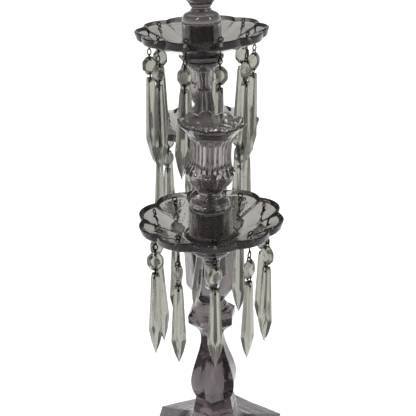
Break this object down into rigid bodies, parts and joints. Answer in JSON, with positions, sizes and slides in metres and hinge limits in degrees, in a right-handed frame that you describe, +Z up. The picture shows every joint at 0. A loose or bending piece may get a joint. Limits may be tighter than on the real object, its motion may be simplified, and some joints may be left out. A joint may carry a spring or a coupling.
{
  "type": "glass candelabra",
  "caption": "Pressed glass table candelabra with a centre post and side arms, scalloped drip pans, fluted candle cups and hanging spear prisms on a hexagonal stem.",
  "frame": {"origin": "middle of the foot's underside, on the axis of the stem and centre post", "axes": "+Z up, X along the arms, Y across them"},
  "size_m": [0.4107, 0.1598, 0.5766],
  "materials": {
    "amethyst_glass": "fire polished pressed glass with a faint purple cast",
    "pale_glass": "fire polished pressed glass, pale grey lilac",
    "prism_glass": "cut and polished clear glass with a grey green cast",
    "aged_brass": "dull dark brown patina"
  },
  "bodies": {
    "stand": {"base_glass": "amethyst_glass", "base_ferrule": "aged_brass"},
    "arms": {"arm_bridge": "amethyst_glass", "post_ferrule": "aged_brass", "centre_post": "amethyst_glass", "peg_cap_right": "aged_brass", "peg_cap_left": "aged_brass", "peg_cap_top": "aged_brass", "drip_pan_right": "pale_glass", "drip_pan_left": "pale_glass", "drip_pan_top": "pale_glass"},
    "cup_right": {"candle_cup_right": "pale_glass"},
    "cup_left": {"candle_cup_left": "pale_glass"},
    "cup_top": {"candle_cup_top": "pale_glass"},
    "prism_right_0": {"prism_right_0": "prism_glass"},
    "prism_right_1": {"prism_right_1": "prism_glass"},
    "prism_right_2": {"prism_right_2": "prism_glass"},
    "prism_right_3": {"prism_right_3": "prism_glass"},
    "prism_right_4": {"prism_right_4": "prism_glass"},
    "prism_right_5": {"prism_right_5": "prism_glass"},
    "prism_right_6": {"prism_right_6": "prism_glass"},
    "prism_right_7": {"prism_right_7": "prism_glass"},
    "prism_right_8": {"prism_right_8": "prism_glass"},
    "prism_right_9": {"prism_right_9": "prism_glass"},
    "prism_left_0": {"prism_left_0": "prism_glass"},
    "prism_left_1": {"prism_left_1": "prism_glass"},
    "prism_left_2": {"prism_left_2": "prism_glass"},
    "prism_left_3": {"prism_left_3": "prism_glass"},
    "prism_left_4": {"prism_left_4": "prism_glass"},
    "prism_left_5": {"prism_left_5": "prism_glass"},
    "prism_left_6": {"prism_left_6": "prism_glass"},
    "prism_left_7": {"prism_left_7": "prism_glass"},
    "prism_left_8": {"prism_left_8": "prism_glass"},
    "prism_left_9": {"prism_left_9": "prism_glass"},
    "prism_top_0": {"prism_top_0": "prism_glass"},
    "prism_top_1": {"prism_top_1": "prism_glass"},
    "prism_top_2": {"prism_top_2": "prism_glass"},
    "prism_top_3": {"prism_top_3": "prism_glass"},
    "prism_top_4": {"prism_top_4": "prism_glass"},
    "prism_top_5": {"prism_top_5": "prism_glass"},
    "prism_top_6": {"prism_top_6": "prism_glass"},
    "prism_top_7": {"prism_top_7": "prism_glass"},
    "prism_top_8": {"prism_top_8": "prism_glass"},
    "prism_top_9": {"prism_top_9": "prism_glass"}
  },
  "joints": [
    {"name": "arms_swivel", "type": "hinge", "parent": "stand", "child": "arms", "pos_m": [0, 0, 0.258], "axis": [0, 0, 1], "continuous": true},
    {"name": "cup_right_lift", "type": "slide", "parent": "arms", "child": "cup_right", "axis": [0, 0, 1], "range_m": [0, 0.06]},
    {"name": "cup_left_lift", "type": "slide", "parent": "arms", "child": "cup_left", "axis": [0, 0, 1], "range_m": [0, 0.06]},
    {"name": "cup_top_lift", "type": "slide", "parent": "arms", "child": "cup_top", "axis": [0, 0, 1], "range_m": [0, 0.06]},
    {"name": "prism_right_0_swing", "type": "hinge", "parent": "arms", "child": "prism_right_0", "pos_m": [0.19247, 0.00183, 0.343], "axis": [0.0349, -0.9994, 0], "range_deg": [-6, 10]},
    {"name": "prism_right_1_swing", "type": "hinge", "parent": "arms", "child": "prism_right_1", "pos_m": [0.18137, 0.03232, 0.343], "axis": [0.6157, -0.788, 0], "range_deg": [-6, 10]},
    {"name": "prism_right_2_swing", "type": "hinge", "parent": "arms", "child": "prism_right_2", "pos_m": [0.15447, 0.05047, 0.343], "axis": [0.9613, -0.2756, 0], "range_deg": [-6, 10]},
    {"name": "prism_right_3_swing", "type": "hinge", "parent": "arms", "child": "prism_right_3", "pos_m": [0.12204, 0.04933, 0.343], "axis": [0.9397, 0.342, 0], "range_deg": [-6, 10]},
    {"name": "prism_right_4_swing", "type": "hinge", "parent": "arms", "child": "prism_right_4", "pos_m": [0.09648, 0.02936, 0.343], "axis": [0.5592, 0.829, 0], "range_deg": [-6, 10]},
    {"name": "prism_right_5_swing", "type": "hinge", "parent": "arms", "child": "prism_right_5", "pos_m": [0.08753, -0.00183, 0.343], "axis": [-0.0349, 0.9994, 0], "range_deg": [-4, 4]},
    {"name": "prism_right_6_swing", "type": "hinge", "parent": "arms", "child": "prism_right_6", "pos_m": [0.09863, -0.03232, 0.343], "axis": [-0.6157, 0.788, 0], "range_deg": [-6, 10]},
    {"name": "prism_right_7_swing", "type": "hinge", "parent": "arms", "child": "prism_right_7", "pos_m": [0.12553, -0.05047, 0.343], "axis": [-0.9613, 0.2756, 0], "range_deg": [-6, 10]},
    {"name": "prism_right_8_swing", "type": "hinge", "parent": "arms", "child": "prism_right_8", "pos_m": [0.15796, -0.04933, 0.343], "axis": [-0.9397, -0.342, 0], "range_deg": [-6, 10]},
    {"name": "prism_right_9_swing", "type": "hinge", "parent": "arms", "child": "prism_right_9", "pos_m": [0.18352, -0.02936, 0.343], "axis": [-0.5592, -0.829, 0], "range_deg": [-6, 10]},
    {"name": "prism_left_0_swing", "type": "hinge", "parent": "arms", "child": "prism_left_0", "pos_m": [-0.09007, 0.01622, 0.343], "axis": [0.309, -0.9511, 0], "range_deg": [-4, 10]},
    {"name": "prism_left_1_swing", "type": "hinge", "parent": "arms", "child": "prism_left_1", "pos_m": [-0.10914, 0.04247, 0.343], "axis": [0.809, -0.5878, 0], "range_deg": [-6, 10]},
    {"name": "prism_left_2_swing", "type": "hinge", "parent": "arms", "child": "prism_left_2", "pos_m": [-0.14, 0.0525, 0.343], "axis": [1, 0, 0], "range_deg": [-6, 10]},
    {"name": "prism_left_3_swing", "type": "hinge", "parent": "arms", "child": "prism_left_3", "pos_m": [-0.17086, 0.04247, 0.343], "axis": [0.809, 0.5878, 0], "range_deg": [-6, 10]},
    {"name": "prism_left_4_swing", "type": "hinge", "parent": "arms", "child": "prism_left_4", "pos_m": [-0.18993, 0.01622, 0.343], "axis": [0.309, 0.9511, 0], "range_deg": [-6, 10]},
    {"name": "prism_left_5_swing", "type": "hinge", "parent": "arms", "child": "prism_left_5", "pos_m": [-0.18993, -0.01622, 0.343], "axis": [-0.309, 0.9511, 0], "range_deg": [-6, 10]},
    {"name": "prism_left_6_swing", "type": "hinge", "parent": "arms", "child": "prism_left_6", "pos_m": [-0.17086, -0.04247, 0.343], "axis": [-0.809, 0.5878, 0], "range_deg": [-6, 10]},
    {"name": "prism_left_7_swing", "type": "hinge", "parent": "arms", "child": "prism_left_7", "pos_m": [-0.14, -0.0525, 0.343], "axis": [-1, 0, 0], "range_deg": [-6, 10]},
    {"name": "prism_left_8_swing", "type": "hinge", "parent": "arms", "child": "prism_left_8", "pos_m": [-0.10914, -0.04247, 0.343], "axis": [-0.809, -0.5878, 0], "range_deg": [-6, 10]},
    {"name": "prism_left_9_swing", "type": "hinge", "parent": "arms", "child": "prism_left_9", "pos_m": [-0.09007, -0.01622, 0.343], "axis": [-0.309, -0.9511, 0], "range_deg": [-4, 10]},
    {"name": "prism_top_0_swing", "type": "hinge", "parent": "arms", "child": "prism_top_0", "pos_m": [0.04993, 0.01622, 0.4814], "axis": [0.309, -0.9511, 0], "range_deg": [-6, 7]},
    {"name": "prism_top_1_swing", "type": "hinge", "parent": "arms", "child": "prism_top_1", "pos_m": [0.03086, 0.04247, 0.4814], "axis": [0.809, -0.5878, 0], "range_deg": [-6, 10]},
    {"name": "prism_top_2_swing", "type": "hinge", "parent": "arms", "child": "prism_top_2", "pos_m": [0, 0.0525, 0.4814], "axis": [1, 0, 0], "range_deg": [-6, 10]},
    {"name": "prism_top_3_swing", "type": "hinge", "parent": "arms", "child": "prism_top_3", "pos_m": [-0.03086, 0.04247, 0.4814], "axis": [0.809, 0.5878, 0], "range_deg": [-6, 10]},
    {"name": "prism_top_4_swing", "type": "hinge", "parent": "arms", "child": "prism_top_4", "pos_m": [-0.04993, 0.01622, 0.4814], "axis": [0.309, 0.9511, 0], "range_deg": [-6, 7]},
    {"name": "prism_top_5_swing", "type": "hinge", "parent": "arms", "child": "prism_top_5", "pos_m": [-0.04993, -0.01622, 0.4814], "axis": [-0.309, 0.9511, 0], "range_deg": [-6, 7]},
    {"name": "prism_top_6_swing", "type": "hinge", "parent": "arms", "child": "prism_top_6", "pos_m": [-0.03086, -0.04247, 0.4814], "axis": [-0.809, 0.5878, 0], "range_deg": [-6, 10]},
    {"name": "prism_top_7_swing", "type": "hinge", "parent": "arms", "child": "prism_top_7", "pos_m": [0, -0.0525, 0.4814], "axis": [-1, 0, 0], "range_deg": [-6, 10]},
    {"name": "prism_top_8_swing", "type": "hinge", "parent": "arms", "child": "prism_top_8", "pos_m": [0.03086, -0.04247, 0.4814], "axis": [-0.809, -0.5878, 0], "range_deg": [-6, 10]},
    {"name": "prism_top_9_swing", "type": "hinge", "parent": "arms", "child": "prism_top_9", "pos_m": [0.04993, -0.01622, 0.4814], "axis": [-0.309, -0.9511, 0], "range_deg": [-6, 7]}
  ]
}
